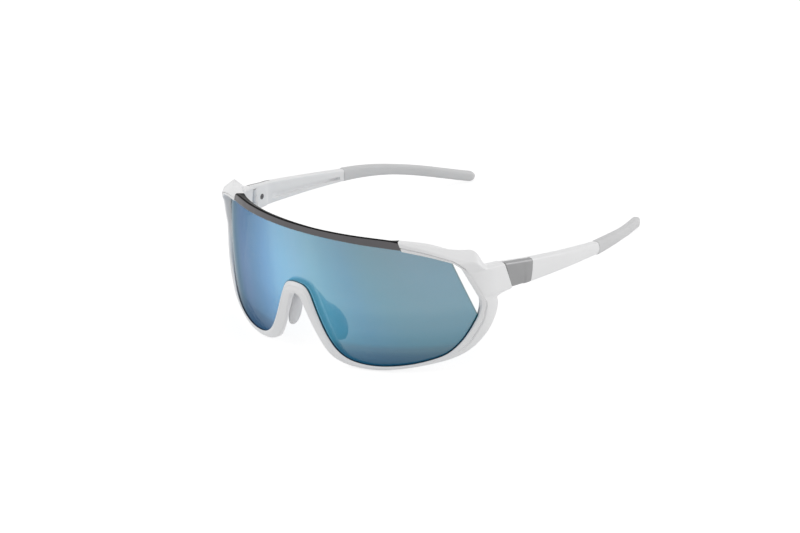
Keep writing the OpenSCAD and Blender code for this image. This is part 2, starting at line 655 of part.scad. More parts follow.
module temple_core(k) {
    color([0.7, 0.7, 0.72]) stand() at_hinge(k) loft(concat(
        [around(core_start + tip_start * 0.1, tip_start, core_d / 2, core_d / 2, 2)],
        [for (t = wire_stops) wire_ring(t, core_d / 2)]
    ));
}

// Nose pads on bendable wires; the wire's stub turns in the back of the nose arch
pad_axis = unit([0.37, 0.3, -0.88]);
pad_lean = [0.32, 0.95, 0];
pad_across = unit(pad_lean - pad_axis * (pad_lean * pad_axis));
pad_face = cross(pad_axis, pad_across);
neck_across = unit([0.2, 0, 0.98]);
pad_mid = [pad_side, pad_back, -pad_low];
stub_r = 0.8;
pad_root = on_front(4.15, arch_top - 3.7, -1.4);
wire_a = pad_root + [0, 1, 0];
neck_a = pad_root + [0, 2.3, 0];
neck_b = pad_root + [0.3, 3.8, -0.8];
neck_c = pad_root + [1.5, 4.9, -2.8];
pad_top = pad_mid - pad_axis * pad_len / 2;
function oval(c, u, v, a, b) = [for (i = [0:19]) c + u * a * cos(18 * i) + v * b * sin(18 * i)];
function neck_ring(c, turn, r) = let(
        u = unit(mix(neck_across, pad_across, turn)),
        v = unit(mix(cross([0, 1, 0], neck_across), pad_face, turn))
    ) oval(c, u, v, r, r);
function pad_ring(t, wide, thick) = oval(
    pad_mid + pad_axis * t * pad_len / 2, pad_across, pad_face, wide * pad_w / 2, thick * pad_t / 2
);

module nose_pad(k) {
    color([0.82, 0.82, 0.83]) stand() mirror_to(k) difference() {
        loft(reversed([
            neck_ring(neck_a, 0, 1.15),
            neck_ring(neck_a + [0, 0.3, 0], 0, 1.35),
            neck_ring(neck_b, 0.3, 1.4),
            neck_ring(neck_c, 0.75, 1.45),
            pad_ring(-0.95, 0.34, 0.84),
            pad_ring(-0.75, 0.55, 0.92),
            pad_ring(-0.45, 0.82, 1),
            pad_ring(-0.1, 0.98, 1),
            pad_ring(0.25, 1, 1),
            pad_ring(0.58, 0.86, 0.94),
            pad_ring(0.82, 0.6, 0.76),
            pad_ring(0.95, 0.32, 0.46),
            pad_ring(1, 0.1, 0.16)
        ]));
        rod(wire_a, mix(wire_a, neck_b, 1.13), wire_d / 2 + 0.02);
    }
}

module pad_wire(k) {
    color([0.7, 0.7, 0.72]) stand() mirror_to(k) {
        rod(pad_root + [0, 0.05, 0], pad_root + [0, 1.9, 0], stub_r);
        rod(wire_a, mix(wire_a, neck_b, 1.1), wire_d / 2);
    }
}

front_frame();
shield_lens();
brow_bar();
bar_pin(1);  // bar_pin_left
bar_pin(-1);  // bar_pin_right
nose_pad(1);  // nose_pad_left
nose_pad(-1);  // nose_pad_right
pad_wire(1);  // pad_wire_left
pad_wire(-1);  // pad_wire_right
hinge_yoke(1);  // hinge_yoke_left
hinge_yoke(-1);  // hinge_yoke_right
hinge_tongue(1);  // hinge_tongue_left
hinge_tongue(-1);  // hinge_tongue_right
hinge_screw(1);  // hinge_screw_left
hinge_screw(-1);  // hinge_screw_right
temple(1);  // temple_left
temple(-1);  // temple_right
temple_plate(1);  // temple_plate_left
temple_plate(-1);  // temple_plate_right
plate_screw(1);  // plate_screw_left
plate_screw(-1);  // plate_screw_right
temple_tip(1);  // temple_tip_left
temple_tip(-1);  // temple_tip_right
temple_core(1);  // temple_core_left
temple_core(-1);  // temple_core_right
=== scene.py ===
"""Looks of the wrap-around cycling sunglasses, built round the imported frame.

Shapes are drawn in worn millimetres, then stood on the table in metres, in the frame of the construction.
"""
import json
import math

import bmesh
import bpy
import numpy as np
from mathutils import Matrix, Vector

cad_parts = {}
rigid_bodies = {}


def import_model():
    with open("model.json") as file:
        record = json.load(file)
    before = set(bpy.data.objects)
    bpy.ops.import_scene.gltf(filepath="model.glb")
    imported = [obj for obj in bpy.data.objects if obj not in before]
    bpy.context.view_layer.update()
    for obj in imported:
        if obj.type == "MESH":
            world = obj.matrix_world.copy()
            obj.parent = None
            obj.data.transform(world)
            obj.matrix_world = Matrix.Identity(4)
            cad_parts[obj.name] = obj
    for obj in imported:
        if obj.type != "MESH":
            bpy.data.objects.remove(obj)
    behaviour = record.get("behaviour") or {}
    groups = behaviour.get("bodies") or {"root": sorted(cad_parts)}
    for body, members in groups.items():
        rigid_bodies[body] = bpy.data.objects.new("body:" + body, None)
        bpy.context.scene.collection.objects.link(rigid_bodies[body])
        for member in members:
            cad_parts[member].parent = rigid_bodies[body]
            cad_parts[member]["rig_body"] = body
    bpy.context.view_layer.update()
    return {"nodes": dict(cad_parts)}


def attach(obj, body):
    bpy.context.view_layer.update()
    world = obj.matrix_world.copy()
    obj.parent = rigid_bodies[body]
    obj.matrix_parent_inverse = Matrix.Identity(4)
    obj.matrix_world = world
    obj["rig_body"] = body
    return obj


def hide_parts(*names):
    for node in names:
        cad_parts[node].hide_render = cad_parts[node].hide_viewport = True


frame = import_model()
nodes = frame["nodes"]
SIDES = ("left", "right")

# Sizes of the construction in millimetres, first the lens
PLAN_R = 86.0  # radius seen from above
TALL_R = 265.0  # radius from top to bottom
TALL_V = -8.2  # height at which the lens stands furthest forward
LENS_T = 1.8  # thickness
REACH = 76.0  # from the middle to the side corner, along the curve
RISE = 25.0  # from the centre up to the visible top
DROP = 27.2  # from the centre down to the bottom
CORNER_V = -5.2  # height of the side corner
TILT = math.radians(4.8)  # tuck of the bottom towards the face

# Front frame
LIP = 1.0  # how far it stands in front of the lens
BACK = 3.8  # how far it reaches behind the lens face
BITE = 0.8  # how deep the lens sits in its groove
GAP = 0.15  # clearance round the lens
GRIP = BITE + GAP  # depth of the groove
THIN = 0.1  # depth of the groove where it holds no lens
FLANGE = 1.4  # ledge behind the lens beside the nose
EDGE_R = 0.5  # rounding of the outer edges
ARCH = 3.1  # height of the nose arch
FOOT = 18.2  # half width of the arch at its foot
LEG_W = 4.8  # width of the band round the arch
RIM_W = 1.9  # height of the lower rim below the lens
VENT_W = 3.2  # width of the vent slot
ARM_T = 5.4  # thickness of the side arms
TURN_R = 14.0  # radius of the bend into the side ends
TURN_LEN = TURN_R * (math.radians(80) - REACH / PLAN_R)  # length of that bend
END_LEN = 14.2  # from the lens corner to the temple seam
SEAM_V = 6.8  # height of the middle of the seam
SEAM_GAP = 0.25  # gap at the seam
RAKE = math.radians(18)  # forward lean of the seam's top

# Brow bar
BAR_REACH = 46.2  # from the middle to its end, along the curve
BAR_H = 2.3  # height at the middle
BAR_END_H = 3.2  # height at the ends
BAR_T = 4.0  # thickness

# Temples with their side plates and soft tips
TEMPLE_H = 11.4  # height at the seam
TEMPLE_END_H = 5.3  # height where the tip begins
TEMPLE_T = 4.0  # thickness
TEMPLE_LEN = 56.2  # from the hinge to the tip
TEMPLE_DROP = 4.4  # drop over that length
PLATE_LEN = 11.8  # length of the side plate
PLATE_T = 0.8  # thickness of the side plate
FIT = 0.05  # clearance of pieces that are fixed together
TIP_LEN = 60.8  # length of the tip from front to back
TIP_INSET = 24.4  # how far the tip curves inwards
TIP_DROP = 10.8  # drop of the tip
TIP_H = 4.5  # height of the tip near its end
TIP_T = 3.6  # thickness of the tip near its end

# Nose pads
PAD_SIDE = 10.3  # from the middle to the centre of a pad
PAD_BACK = 10.2  # depth of that centre behind the front of the lens
PAD_LOW = 13.4  # depth of that centre below the lens centre
PAD_LEN = 17.8  # length
PAD_W = 9.6  # width
PAD_T = 3.6  # thickness


def on_front(s, v, n):
    """Worn position at a distance s along the front face, a height v and an offset n."""
    s, v, n = np.broadcast_arrays(*(np.asarray(c, float) for c in (s, v, n)))
    n = n - (TALL_R - np.sqrt(TALL_R ** 2 - (v - TALL_V) ** 2))
    q = np.abs(s)
    a = np.minimum(q, REACH) / PLAN_R
    h = a + np.clip(q - REACH, 0, TURN_LEN) / TURN_R
    c = np.maximum(q - REACH - TURN_LEN, 0)
    x = np.where(s < 0, -1.0, 1.0) * (
        PLAN_R * np.sin(a) + TURN_R * (np.sin(h) - np.sin(a)) + c * np.cos(h) + n * np.sin(h))
    y = PLAN_R * (1 - np.cos(a)) + TURN_R * (np.cos(a) - np.cos(h)) + c * np.sin(h) - n * np.cos(h)
    back = y * math.cos(TILT) - v * math.sin(TILT)
    up = v * math.cos(TILT) + y * math.sin(TILT)
    return np.stack([x, back, up], -1)


def mix(a, b, t):
    return a + (b - a) * t


def unit(v):
    return v / np.linalg.norm(v)


def smooth(knots, steps):
    """Smooth curve through knots, with a number of steps between each two."""
    k = [np.asarray(p, float) for p in knots]
    out = []
    for i in range(len(k) - 1):
        a, b, c, d = k[max(i - 1, 0)], k[i], k[i + 1], k[min(i + 2, len(k) - 1)]
        for j in range(steps):
            t = j / steps
            out.append(0.5 * (2 * b + (c - a) * t + (2 * a - 5 * b + 4 * c - d) * t ** 2
                              + (3 * b - a - 3 * c + d) * t ** 3))
    return out + [k[-1]]


def straight(knots, steps):
    """Straight steps from knot to knot, without the first knot."""
    k = [np.asarray(p, float) for p in knots]
    return [mix(k[i], k[i + 1], j / steps) for i in range(len(k) - 1) for j in range(1, steps + 1)]


def softened(rows, steps, width):
    """The same row of stations made denser, with its bends eased."""
    rows = np.array(rows)
    at = np.linspace(0, len(rows) - 1, (len(rows) - 1) * steps + 1)
    dense = np.stack([np.interp(at, range(len(rows)), c) for c in rows.T], 1)
    pad = 4 * width
    before = 2 * dense[0] - dense[pad:0:-1]
    after = 2 * dense[-1] - dense[-2:-pad - 2:-1]
    full = np.concatenate([before, dense, after])
    w = np.exp(-0.5 * (np.arange(-pad, pad + 1) / width) ** 2)
    w /= w.sum()
    return np.stack([np.convolve(c, w, "valid") for c in full.T], 1)


def rounded(ring, times=2):
    """A closed ring of points with its corners cut, twice finer each time."""
    for _ in range(times):
        after = np.roll(ring, -1, 0)
        pairs = np.stack([0.75 * ring + 0.25 * after, 0.25 * ring + 0.75 * after], 1)
        ring = pairs.reshape(-1, ring.shape[1])
    return ring


# Hinge millimetres start from the inner side of the seam, and the tip is a curve of four points in them
SEAM_S = REACH + END_LEN
SEAM_TOP = SEAM_V + TEMPLE_H / 2
SEAM_BOTTOM = SEAM_V - TEMPLE_H / 2 - 0.4
HINGE = on_front(SEAM_S, SEAM_V, -BACK)
TEMPLE_MID = [TEMPLE_T / 2 + d for d in (0, 1, 1.8, 2, 0.8)]
TIP_A = np.array([TEMPLE_MID[4], TEMPLE_LEN, -TEMPLE_DROP])
TIP_B = TIP_A + [-4.3, 0.495 * TIP_LEN, -0.1 * TIP_DROP]
TIP_C = TIP_A + [-0.69 * TIP_INSET, 0.73 * TIP_LEN, -0.68 * TIP_DROP]
TIP_D = TIP_A + [-TIP_INSET, TIP_LEN, -TIP_DROP]

# The worn shape stands on its lower rim and its two tips
rim_low = on_front(FOOT + 13, -DROP - RIM_W + 0.1, EDGE_R - BACK)
tip_low = HINGE + TIP_D - [0, 1.2, TIP_H / 2 - 0.8]
STAND = math.atan((tip_low[2] - rim_low[2]) / (tip_low[1] - rim_low[1]))


def turned(p):
    """Worn directions as they are on the table."""
    p = np.asarray(p, float)
    c, s = math.cos(STAND), math.sin(STAND)
    return np.stack([p[..., 0], p[..., 1] * c + p[..., 2] * s, p[..., 2] * c - p[..., 1] * s], -1)


MID_Y = (turned(HINGE + TIP_D)[1] + 0.1 - LIP) / 2
LIFT = -turned(rim_low)[2] + 0.18


def stood(p):
    """Worn millimetres to metres in the shared frame."""
    return (turned(p) + [0, -MID_Y, LIFT]) * 0.001


# Sections of the frame
FACE_STEPS = (0.2, 0.4, 0.6, 0.8, 1)
BACK_STEPS = (1, 0.84, 0.68, 0.52, 0.36, 0.22, 0.1)
STRIP_W = (2.2, 1.6)  # width of the strip along the lens, below and above the side corner
CREASE_DEPTH = 0.85  # depth of the crease along that strip
REAR_SLOPE = 1.1  # how far the rear inner corner slopes away
LEAST_FLANGE = 0.4  # ledge from which the rear inner corner stays square


def section(k):
    """Ring of points round the frame at one station, from its edge at the lens to its outer edge."""
    a, b = k[0:2], k[2:4]
    n_in, n_ridge, n_out, n_back, ridge, groove, flange, rise, drop, thinner, crease = k[4:]
    d = unit(b - a)
    e = b - d * EDGE_R - [0, drop]
    g = b + [0, rise]
    h = g - d * EDGE_R - [0, drop]
    far = n_back + thinner
    deep = a + d * max(groove, 0.06)
    lip = a - d * max(flange, 0)
    behind = -LENS_T - GAP
    # The rear inner corner slopes away where no flange stands behind the lens
    open_back = min(max(1 - flange / LEAST_FLANGE, 0), 1)
    slope = d * min(REAR_SLOPE, 0.5 * np.linalg.norm(b - a)) * open_back
    # A narrow strip along the lens, with a crease where it meets the face
    strip = float(np.interp(a[1], (CORNER_V - 2, CORNER_V + 2), STRIP_W))
    w = min(strip / np.linalg.norm(e - a), mix(0.8 * ridge, 0.5, crease))
    top = float(np.interp(w, (0, ridge / 2, ridge), (n_in, mix(n_in, n_ridge, 0.6), n_ridge)))
    edge = mix(n_in, top, 0.55 * crease)
    r = max(ridge, 1.3 * w)
    flat = [
        (*a, edge),
        (*mix(a, e, 0.5 * w), mix(edge, top, 0.55)),
        (*mix(a, e, 0.8 * w), top),
        (*mix(a, e, w), top - CREASE_DEPTH * crease),
        (*mix(a, e, 1.2 * w), top),
        (*mix(a, e, r), n_ridge),
    ]
    flat += [(*mix(a, e, mix(r, 1, t)), mix(n_ridge, n_out, t)) for t in FACE_STEPS]
    crown = np.array((*b, n_out - EDGE_R - 1.2 * abs(drop)))
    heel = np.array((*g, far + EDGE_R))
    flat += [crown, mix(crown, heel, 0.12), mix(crown, heel, 0.88), heel]
    flat += [(*mix(a + slope, h, t), mix(n_back, far, t)) for t in BACK_STEPS]
    flat += [(*(lip + slope), n_back), (*lip, behind), (*deep, behind), (*deep, GAP), (*a, GAP)]
    p = rounded(np.array(flat))
    return on_front(p[:, 0], p[:, 1], p[:, 2])


# The visible top of the lens: a large radius, and a smaller one from a certain distance on
BROW_R = 480.0
BROW_END_R = 94.0
BROW_END_S = 44.0


def brow_v(s):
    """Height of the visible top of the lens at a distance s from the middle."""
    s = np.abs(s)
    return RISE - s ** 2 / (2 * BROW_R) - np.maximum(s - BROW_END_S, 0) ** 2 / (2 * BROW_END_R)


def brow_at(s, up):
    return [s, float(brow_v(s)) + up]


def band(a, b, n_in, n_ridge, n_out, ridge, flange, thinner=0.0):
    """Station of the arch or the rim, from a at the lens to b outside."""
    return [*a, *b, n_in, n_ridge, n_out, -BACK, ridge, GRIP, flange, 0, 0, thinner]


def leg(a, w):
    """Outer point of a leg of the arch that is w wide."""
    return [a[0] - 0.89 * w, a[1] - 0.46 * w]


# The frame from the nose arch round the lower rim to the corner of the lens
foot_v = 4.6 - DROP
leg_a, leg_b = [6.8, ARCH - 3.4], [FOOT - 9.4, foot_v + 17.4]
leg_c, leg_d = [FOOT - 6.8, foot_v + 11.1], [FOOT - 4, foot_v + 5.4]
brow_in, brow_out = [4.3, ARCH - 0.7], [1.2, ARCH - LEG_W - 0.2]
RIM_KNOTS = [
    band([-brow_in[0], brow_in[1]], [-brow_out[0], brow_out[1]], 0.4, LIP + 0.6, LIP + 0.5, 0.8, 0.5, 0.9),
    band([0, ARCH], [0, ARCH - LEG_W + 0.3], 0.4, LIP + 0.6, LIP + 0.5, 0.8, 0.5, 0.9),
    band(brow_in, brow_out, 0.4, LIP + 0.6, LIP + 0.5, 0.7, 0.7, 0.9),
    band(leg_a, leg(leg_a, LEG_W + 0.1), 0.5, LIP + 0.6, LIP + 0.5, 0.42, 1.1, 2),
    band(leg_b, leg(leg_b, LEG_W + 0.3), 0.6, LIP + 0.4, LIP, 0.22, FLANGE, 2.7),
    band(leg_c, leg(leg_c, LEG_W + 0.3), 0.6, LIP + 0.2, LIP - 0.5, 0.22, FLANGE, 2.5),
    band(leg_d, leg(leg_d, LEG_W + 0.2), 0.6, LIP + 0.1, LIP - 0.8, 0.24, 1, 2.1),
    band([FOOT, foot_v], [FOOT - 3.7, foot_v - 2.7], 0.5, LIP, LIP - 0.6, 0.3, 0.3, 1.4),
    band([FOOT + 6.2, 1.1 - DROP], [FOOT + 4.2, 0.8 - DROP - RIM_W], 0.5, LIP - 0.2, LIP - 0.4, 0.4, 0, 0.4),
    band([FOOT + 16.3, -DROP], [FOOT + 16.3, -DROP - RIM_W], 0.5, LIP - 0.2, LIP - 0.4, 0.4, 0),
    band([FOOT + 28.3, 1.2 - DROP], [FOOT + 28.6, 1.6 - DROP - RIM_W], 0.5, LIP - 0.2, LIP - 0.4, 0.4, 0),
    band([REACH - 19.5, 3.6 - DROP], [REACH - 18.9, 3.7 - DROP - RIM_W], 0.6, LIP + 0.1, LIP - 0.4, 0.4, 0),
    band([REACH - 12.5, CORNER_V - 15.7], [REACH - 10.8, CORNER_V - 18.1],
         0.7, LIP + 0.4, LIP - 0.3, 0.42, 0),
    band([REACH - 7, CORNER_V - 10.8], [REACH - 3, CORNER_V - 14.2], 0.8, LIP + 1, LIP - 0.2, 0.38, 0),
    band([REACH - 3, CORNER_V - 5.2], [REACH + 4, CORNER_V - 7], 1, LIP + 1.4, LIP - 0.1, 0.25, 0),
    band([REACH, CORNER_V], [REACH + 8.2, CORNER_V + 0.2], 1.1, LIP + 1.5, LIP - 0.2, 0.22, 0),
]


def seam_at(v):
    return [SEAM_S + 1.6 - (v - SEAM_V) * math.tan(RAKE - TILT), v]


# The side end, between the vent slot and the temple seam
SLOT_TOP = np.array([REACH - 9.2 + VENT_W, float(brow_v(REACH - 9.4)) - 2.2])
SLOT_FOOT = np.array([REACH - 2.3 + VENT_W, CORNER_V + 6.2])


def end_band(u, b, n_ridge, n_out, ridge, drop, rise=0.0, deeper=0.0):
    """Station of the side end, from a share u of the slot's height to b outside."""
    a = mix(SLOT_FOOT, SLOT_TOP, u)
    return [*a, *b, n_ridge - 0.9, n_ridge, n_out, -BACK - deeper, ridge, THIN, 0, rise, drop, 0]


END_KNOTS = [
    [REACH + 1, CORNER_V + 3.6, REACH + 9, CORNER_V + 3.6, 1.4, 2.6, 0.8, -BACK, 0.14, THIN, 0, 0, 0, 0],
    end_band(0, [REACH + 8.4, SEAM_BOTTOM - 0.4], 2.7, 0.7, 0.16, 0),
    end_band(0.12, [REACH + 11.5, SEAM_BOTTOM], 2.8, 0.5, 0.15, -0.4),
    end_band(0.24, seam_at(SEAM_BOTTOM), 2.9, 0.3, 0.13, -0.4),
    end_band(0.4, seam_at(SEAM_V - 1.8), 3, 0.3, 0.14, 0),
    end_band(0.56, seam_at(SEAM_V + 1.8), 3.1, 0.3, 0.14, 0),
    end_band(0.74, seam_at(SEAM_TOP), 3.3, 0.4, 0.15, 0.5),
    end_band(0.86, [REACH + 8, SEAM_TOP + 1], 3.5, 1.5, 0.18, 0.6, -0.4, 0.4),
    end_band(0.94, [REACH + 4, SEAM_TOP + 2.2], 3.7, 2.6, 0.2, 1, -1.2, 1),
]

# The side arm, from the vent slot to the brow bar
ARM_END = REACH - 9.4


def arm_band(a, b, n_in, n_ridge, n_out, ridge, groove, drop, rise, deeper=0.0):
    """Station of the side arm, from a at the lens or the slot to b above."""
    return [*a, *b, n_in, n_ridge, n_out, 1.4 - ARM_T - deeper, ridge, groove, 0, rise, drop, 0]


ARM_KNOTS = [
    arm_band(SLOT_TOP, [REACH + 2.9, SEAM_TOP + 4], 2.5, 3.8, 3.1, 0.22, THIN, 1.7, -2.2, 1.1),
    arm_band([ARM_END + 1.8, brow_v(ARM_END) - 1], [REACH + 1.5, SEAM_TOP + 6.8],
             2.3, 3.8, 3.2, 0.24, THIN, 2.5, -3, 1.3),
    arm_band([ARM_END + 0.9, brow_v(ARM_END) - 0.35], [REACH - 1, SEAM_TOP + 8.6],
             2.2, 3.7, 3.1, 0.26, THIN, 3, -3.2, 1.3),
    arm_band(brow_at(ARM_END, 0), [REACH - 4.8, SEAM_TOP + 8.8],
             1.9, 3.2, 2.7, 0.28, GRIP + 0.06, 2.6, -2.4, 0.8),
    arm_band(brow_at(REACH - 13.6, -0.3), brow_at(REACH - 12, 4),
             1.5, 2.4, 2, 0.34, GRIP + 0.36, 1.4, -1, 0.2),
    arm_band(brow_at(REACH - 20, -0.4), brow_at(REACH - 19.4, 3.4),
             1.2, 1.8, 1.5, 0.36, GRIP + 0.46, 0.6, -0.3),
    [*brow_at(BAR_REACH + 1.61 + FIT, -0.4), *brow_at(BAR_REACH + FIT, BAR_END_H),
     1.0, 1.4, 1.2, 1.2 - BAR_T, 0.36, GRIP + 0.55, 0, -0.5, 0, 0],
]

# Stations from the middle of the arch to the end at the bar
rim_half = smooth(RIM_KNOTS, 3)[3:]
end_half = [np.array(END_KNOTS[0])] + straight(END_KNOTS + [ARM_KNOTS[0]], 3)
half = rim_half + end_half + smooth(ARM_KNOTS, 2)[1:]

# The crease runs round the lower corner and along the arm, and fades out beside the slot
CREASE_AT = (-10, -5, 0, 6, 20, 26)  # stations, counted from the corner of the lens
CREASE = (0, 1, 1, 0, 0, 1)
half = [np.append(k, np.interp(i - len(rim_half), CREASE_AT, CREASE)) for i, k in enumerate(half)]

# Both halves, with their bends eased
MIRROR = np.array([-1, 1, -1] + [1] * 12)
DENSE = 6
whole = softened([k * MIRROR for k in half[:0:-1]] + half, DENSE, 3)
rim_count = (len(rim_half) - 1) * DENSE
middle = (len(whole) - 1) // 2
rim_dense = whole[middle - rim_count:middle + rim_count + 1]


# Mesh helpers
def shape(name, verts, faces, mat):
    """A closed mesh from worn millimetres, turned outwards."""
    data = bpy.data.meshes.new(name)
    data.from_pydata([tuple(v) for v in stood(verts)], [], faces)
    bm = bmesh.new()
    bm.from_mesh(data)
    bmesh.ops.recalc_face_normals(bm, faces=bm.faces)
    if bm.calc_volume(signed=True) < 0:
        bmesh.ops.reverse_faces(bm, faces=bm.faces)
    bm.to_mesh(data)
    bm.free()
    data.materials.append(mat)
    piece = bpy.data.objects.new(name, data)
    bpy.context.scene.collection.objects.link(piece)
    return piece


def loft_faces(count, m):
    """Faces over a row of rings of m points each, with the two ends last."""
    faces = [[i * m + j, i * m + (j + 1) % m, (i + 1) * m + (j + 1) % m, (i + 1) * m + j]
             for i in range(count - 1) for j in range(m)]
    return faces + [list(range(m)), [(count - 1) * m + j for j in range(m)]]


def loft(name, rings, mat):
    return shape(name, np.concatenate(rings), loft_faces(len(rings), len(rings[0])), mat)


def cut(piece, cutters):
    """Takes the cutters out of a piece for good."""
    for c in cutters:
        m = piece.modifiers.new("cut", "BOOLEAN")
        m.operation = "DIFFERENCE"
        m.solver = "EXACT"
        m.object = c
    bpy.context.view_layer.update()
    done = bpy.data.meshes.new_from_object(piece.evaluated_get(bpy.context.evaluated_depsgraph_get()))
    piece.modifiers.clear()
    piece.data = done
    for c in cutters:
        bpy.data.objects.remove(c)


def finish(piece, node, sharp=35.0, bevel=0.0):
    """Smooth skin with sharp edges kept, in place of one node and on its body."""
    if bevel:
        m = piece.modifiers.new("bevel", "BEVEL")
        m.width = bevel * 0.001
        m.segments = 2
        m.limit_method = "ANGLE"
        m.angle_limit = math.radians(sharp)
    bm = bmesh.new()
    bm.from_mesh(piece.data)
    for f in bm.faces:
        f.smooth = True
    for e in bm.edges:
        e.smooth = len(e.link_faces) == 2 and e.calc_face_angle(0) <= math.radians(sharp)
    bm.to_mesh(piece.data)
    bm.free()
    piece.name = node + "_skin"
    piece.data.name = piece.name
    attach(piece, nodes[node]["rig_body"])
    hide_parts(node)


def on_side(points, side):
    """Points of the left side, taken to either side."""
    return np.asarray(points) * [1 if side == "left" else -1, 1, 1]


def at_hinge(points, side):
    """Hinge millimetres to the worn position on one side."""
    return on_side(np.asarray(points, float) + HINGE, side)


def box(low, high):
    """Box from one corner to the other, as points and faces."""
    corners = [[x, y, z] for x in (low[0], high[0]) for y in (low[1], high[1]) for z in (low[2], high[2])]
    faces = [[0, 1, 3, 2], [4, 6, 7, 5], [0, 4, 5, 1], [2, 3, 7, 6], [0, 2, 6, 4], [1, 5, 7, 3]]
    return np.array(corners), faces


def drum(a, b, radius, sides=64):
    """Round bar from a to b, as points and faces."""
    a, b = np.asarray(a, float), np.asarray(b, float)
    d = unit(b - a)
    u = unit(np.cross(d, [0.3, 0.9, 0.2]))
    w = np.cross(d, u)
    t = np.linspace(0, 2 * math.pi, sides, endpoint=False)[:, None]
    ring = radius * (np.cos(t) * u + np.sin(t) * w)
    return np.concatenate([a + ring, b + ring]), loft_faces(2, sides)


def seam_cutter(side, mat):
    """What lies behind the raked seam at one end of the frame."""
    p, f = box((-8, 0, -15), (12, 12, 15))
    c, s = math.cos(RAKE), math.sin(RAKE)
    p = np.stack([p[:, 0], p[:, 1] * c - p[:, 2] * s, p[:, 2] * c + p[:, 1] * s], 1)
    return shape("cutter", at_hinge(p, side), f, mat)


# Room for the hinge, in hinge millimetres
HINGE_X = 0.8  # how far out its axis lies
HINGE_HALF = 4.1  # half its height
HINGE_R = 1.85  # its radius


def swing_cutter(side, mat):
    """The round room in which one hinge turns."""
    p, f = drum((HINGE_X, 0, -HINGE_HALF), (HINGE_X, 0, HINGE_HALF), HINGE_R)
    return shape("cutter", at_hinge(p, side), f, mat)


# Shader helpers
def new_material(name):
    mat = bpy.data.materials.new(name)
    mat.use_nodes = True
    tree = mat.node_tree
    return mat, tree, tree.nodes["Principled BSDF"]


def ramp(tree, fac, stops, mode="EASE"):
    """Grey values or colours at stops along fac."""
    n = tree.nodes.new("ShaderNodeValToRGB")
    n.color_ramp.interpolation = mode
    elements = n.color_ramp.elements
    while len(elements) < len(stops):
        elements.new(0.5)
    for e, (pos, col) in zip(elements, stops):
        e.position = pos
        e.color = (col, col, col, 1) if isinstance(col, (int, float)) else (*col, 1)
    tree.links.new(fac, n.inputs["Fac"])
    return n.outputs["Color"]


def noise(tree, coords, scale, detail=3.0, rough=0.5):
    n = tree.nodes.new("ShaderNodeTexNoise")
    n.inputs["Scale"].default_value = scale
    n.inputs["Detail"].default_value = detail
    n.inputs["Roughness"].default_value = rough
    tree.links.new(coords, n.inputs["Vector"])
    return n.outputs["Fac"]


def bump(tree, bsdf, height, strength, distance):
    n = tree.nodes.new("ShaderNodeBump")
    n.inputs["Strength"].default_value = strength
    n.inputs["Distance"].default_value = distance
    tree.links.new(height, n.inputs["Height"])
    tree.links.new(n.outputs["Normal"], bsdf.inputs["Normal"])


def mixed(tree, fac, a, b, blend="MIX"):
    """Blend of two colours, where each input is a number, a colour or another node's output."""
    n = tree.nodes.new("ShaderNodeMix")
    n.data_type = "RGBA"
    n.blend_type = blend
    for socket, value in (("Factor", fac), ("A", a), ("B", b)):
        if isinstance(value, (int, float)):
            n.inputs[socket].default_value = value
        elif isinstance(value, tuple):
            n.inputs[socket].default_value = (*value, 1)
        else:
            tree.links.new(value, n.inputs[socket])
    return n.outputs["Result"]


def plastic(name, color, vary=0.02, rough=(0.3, 0.38), grain=9000.0, depth=0.00001, top=None, **sockets):
    """Moulded plastic or rubber: slight blotches of tone, uneven gloss and a fine grain.

    Where top is given, it is painted shade: faces that point upwards take this darker colour and lose most of
    their gloss.
    """
    mat, tree, bsdf = new_material(name)
    coords = tree.nodes.new("ShaderNodeTexCoord").outputs["Object"]
    low = [max(c - vary, 0) for c in color]
    high = [min(c + vary * 0.5, 1) for c in color]
    tone = ramp(tree, noise(tree, coords, 60.0), [(0.3, low), (0.7, high)])
    # Painted shade: upward faces get the top colour and a weaker gloss
    if top:
        split = tree.nodes.new("ShaderNodeSeparateXYZ")
        tree.links.new(tree.nodes.new("ShaderNodeNewGeometry").outputs["Normal"], split.inputs["Vector"])
        top_shade_mask = ramp(tree, split.outputs["Z"], [(0.45, 0.0), (0.75, 1.0)])
        tone = mixed(tree, top_shade_mask, tone, top)
        shine = mixed(tree, top_shade_mask, (0.5, 0.5, 0.5), (0.03, 0.03, 0.03))
        tree.links.new(shine, bsdf.inputs["Specular IOR Level"])
    tree.links.new(tone, bsdf.inputs["Base Color"])
    gloss = ramp(tree, noise(tree, coords, 220.0), [(0.3, rough[0]), (0.7, rough[1])])
    tree.links.new(gloss, bsdf.inputs["Roughness"])
    bump(tree, bsdf, noise(tree, coords, grain, 2.0), 0.35, depth)
    for key, value in sockets.items():
        bsdf.inputs[key.replace("_", " ")].default_value = value
    return mat


WHITE = plastic("white_plastic", (0.86, 0.86, 0.865), vary=0.012, rough=(0.28, 0.36),
                grain=7000.0, depth=0.000006)
PALE = plastic("hinge_plastic", (0.80, 0.80, 0.805), rough=(0.35, 0.45))
PLATE = plastic("plate_satin", (0.345, 0.345, 0.35), vary=0.015, rough=(0.34, 0.44),
                grain=14000.0, depth=0.000008, Metallic=0.35)
TIP = plastic("tip_rubber", (0.67, 0.67, 0.675), rough=(0.55, 0.68), grain=5000.0, depth=0.00002)
PAD = plastic("pad_rubber", (0.72, 0.72, 0.73), rough=(0.42, 0.55), grain=4000.0, depth=0.00002)
STEEL = plastic("steel", (0.55, 0.55, 0.56), vary=0.03, rough=(0.22, 0.34), depth=0.000004, Metallic=1.0)
DARK_STEEL = plastic("screw_black", (0.13, 0.13, 0.135), vary=0.01, rough=(0.3, 0.45),
                     depth=0.000004, Metallic=0.8)
# The bar's upward faces are painted near black, as shade
BAR = plastic("bar_charcoal", (0.105, 0.10, 0.105), vary=0.008, rough=(0.36, 0.46), top=(0.006, 0.006, 0.006))
LENS_EDGE = plastic("lens_edge", (0.01, 0.06, 0.10), vary=0.005, rough=(0.1, 0.2),
                    grain=3000.0, depth=0.000004)

